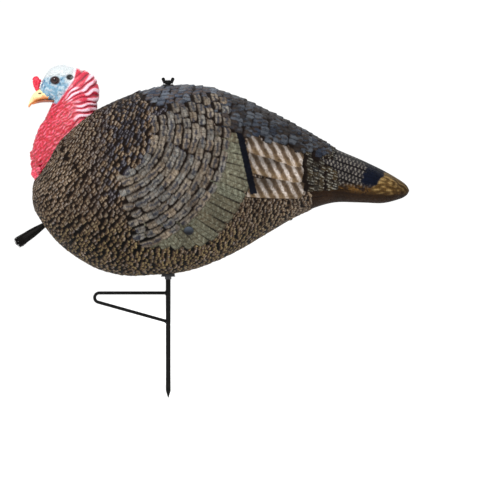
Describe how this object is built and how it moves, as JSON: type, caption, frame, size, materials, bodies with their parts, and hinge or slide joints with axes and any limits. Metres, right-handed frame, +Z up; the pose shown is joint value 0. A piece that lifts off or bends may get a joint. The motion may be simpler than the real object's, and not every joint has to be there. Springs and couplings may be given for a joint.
{
  "type": "turkey decoy",
  "caption": "Hollow gobbler decoy that swivels on a ground stake with a foot step, with a push-in head, a push-in beard and a wing nut that clamps the body.",
  "frame": {"origin": "on the ground stake's axis at the ground line, just below the foot step", "axes": "+Z up along the stake, -X the way the bird faces, +Y the bird's right side"},
  "size_m": [0.7667, 0.289, 0.6515],
  "materials": {
    "stake_coat": "satin black coat on steel",
    "zinc_steel": "plain zinc-plated steel",
    "plumage": "painted moulded feathers, matt",
    "natural_plastic": "unpainted moulded plastic",
    "black_plastic": "matt black moulded plastic",
    "black_rubber": "soft matt rubber",
    "plug_plastic": "satin dark blue-grey plastic",
    "head_paint": "painted moulded skin, satin",
    "snood_paint": "painted, satin",
    "eye_gloss": "glossy dark brown",
    "bristle": "bundle of coarse black bristles",
    "nut_coat": "black finish on steel"
  },
  "bodies": {
    "stake": {"ground_stake": "stake_coat", "step_loop": "stake_coat", "spindle_rod": "zinc_steel", "jam_nut": "zinc_steel", "belly_washer": "zinc_steel"},
    "shell": {"body_shell": "plumage", "stake_tube": "natural_plastic", "belly_bush": "black_plastic", "back_bush": "black_plastic", "neck_cup": "black_plastic", "beard_socket": "black_rubber", "side_plug": "plug_plastic"},
    "head": {"head_neck": "head_paint", "neck_peg": "black_plastic", "snood": "snood_paint", "eye_left": "eye_gloss", "eye_right": "eye_gloss"},
    "beard": {"beard_bristles": "bristle", "beard_ferrule": "black_plastic"},
    "washer": {"top_washer": "zinc_steel"},
    "nut": {"wing_nut": "nut_coat"}
  },
  "joints": [
    {"name": "body_swivel", "type": "hinge", "parent": "stake", "child": "shell", "pos_m": [0, 0, 0.28], "axis": [0, 0, 1], "continuous": true},
    {"name": "head_pull", "type": "slide", "parent": "shell", "child": "head", "axis": [-0.6, 0, 0.8], "range_m": [0, 0.06]},
    {"name": "beard_pull", "type": "slide", "parent": "shell", "child": "beard", "axis": [-0.829, 0, -0.5592], "range_m": [0, 0.024]},
    {"name": "nut_lift", "type": "slide", "parent": "stake", "child": "washer", "axis": [0, 0, 1], "range_m": [0, 0.0052]},
    {"name": "nut_turn", "type": "hinge", "parent": "washer", "child": "nut", "pos_m": [0, 0, 0.47], "axis": [0, 0, 1], "range_deg": [0, 1440]}
  ],
  "couplings": [
    {"joint": "nut_lift", "follows": "nut_turn", "m_per_rad": 0.00020213}
  ]
}
